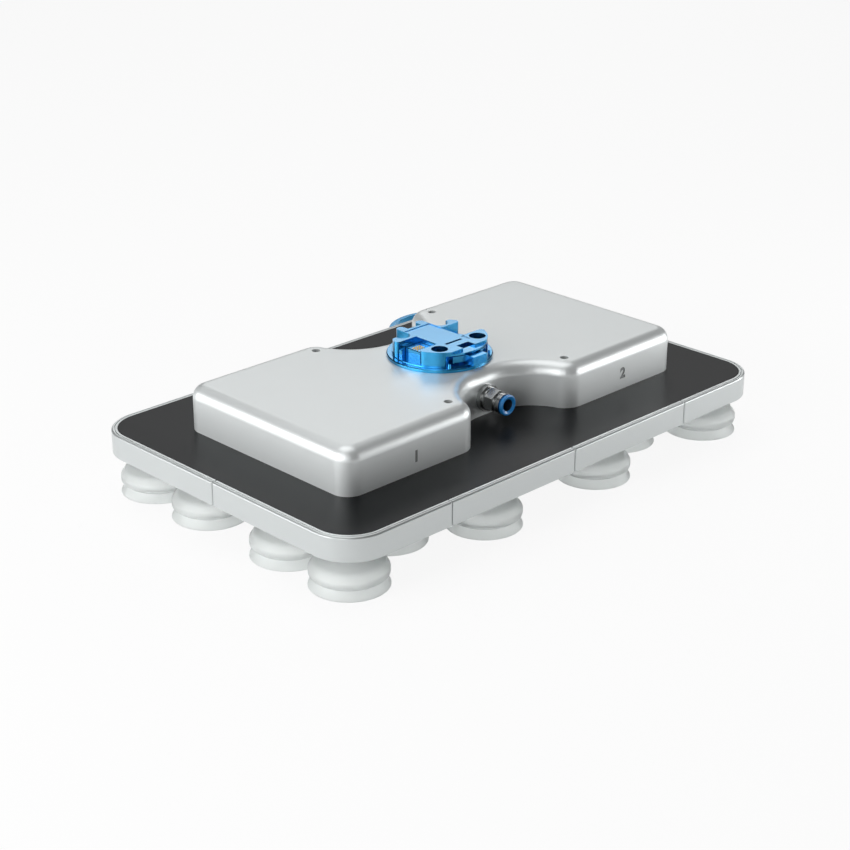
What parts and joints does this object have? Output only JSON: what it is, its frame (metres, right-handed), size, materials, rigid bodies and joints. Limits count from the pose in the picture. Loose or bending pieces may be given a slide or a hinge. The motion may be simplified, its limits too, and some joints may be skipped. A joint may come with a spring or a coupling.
{
  "type": "vacuum gripper",
  "caption": "Flat area vacuum gripper: bow-tie housing on a rimmed rounded plate, quick-change coupling on top, push-in air fitting and bellows suction cups underneath.",
  "frame": {"origin": "centre of the coupling's locating face, on the robot flange axis", "axes": "+X along the plate's long side, +Y away from the air fitting, +Z out of the coupling towards the robot"},
  "size_m": [0.39, 0.2616, 0.0879],
  "materials": {
    "silver_housing": "satin",
    "silver_rim": "satin",
    "black_sheet": "matte",
    "plate_metal": "satin",
    "frame_plastic": "matte",
    "blue": "gloss",
    "contact_gold": "polished",
    "screw_steel": "satin",
    "fitting_metal": "polished",
    "cup_rubber": "matte",
    "seal_rubber": "matte",
    "stem_metal": "satin",
    "block_metal": "satin",
    "brass": "satin",
    "valve_plastic": "matte",
    "board": "satin"
  },
  "bodies": {
    "base": {"housing": "silver_housing", "rim_corner_front_left": "silver_rim", "rim_corner_front_right": "silver_rim", "rim_corner_rear_left": "silver_rim", "rim_corner_rear_right": "silver_rim", "rim_rail_front_left": "silver_rim", "rim_rail_front_right": "silver_rim", "rim_rail_rear_left": "silver_rim", "rim_rail_rear_right": "silver_rim", "top_sheet": "black_sheet", "bottom_plate": "plate_metal", "plenum_frame": "frame_plastic", "coupling_flange": "blue", "coupling_body": "blue", "contact_block": "blue", "rear_loop": "blue", "contact_pins": "contact_gold", "housing_screws": "screw_steel", "coupling_screws": "screw_steel", "bottom_screws": "screw_steel", "loop_screws": "screw_steel", "latch_springs": "screw_steel", "fitting_grip_ring": "screw_steel", "fitting_body": "fitting_metal", "cup_bellows": "cup_rubber", "housing_seal": "seal_rubber", "plenum_seal": "seal_rubber", "fitting_seal_ring": "seal_rubber", "cup_stems": "stem_metal", "manifold_block": "block_metal", "ejector_block_left": "block_metal", "ejector_block_right": "block_metal", "ejector_nozzles": "brass", "board_standoffs": "brass", "silencers": "brass", "solenoid_valves": "valve_plastic", "vacuum_sensors": "valve_plastic", "circuit_board": "board"},
    "cup_lips": {"cup_lips": "cup_rubber"},
    "latch": {"coupling_latch": "blue"},
    "collet": {"fitting_collet": "blue"}
  },
  "joints": [
    {"name": "cup_stroke", "type": "slide", "parent": "base", "child": "cup_lips", "axis": [0, 0, 1], "range_m": [0, 0.01], "stiffness_N_per_m": 4000, "springref_m": -0.015, "deforming": ["cup_bellows"]},
    {"name": "latch_press", "type": "slide", "parent": "base", "child": "latch", "axis": [0, 1, 0], "range_m": [0, 0.0015], "stiffness_N_per_m": 400, "springref_m": -0.002},
    {"name": "collet_press", "type": "slide", "parent": "base", "child": "collet", "axis": [0, 1, 0], "range_m": [0, 0.0012], "stiffness_N_per_m": 500, "springref_m": -0.001}
  ]
}
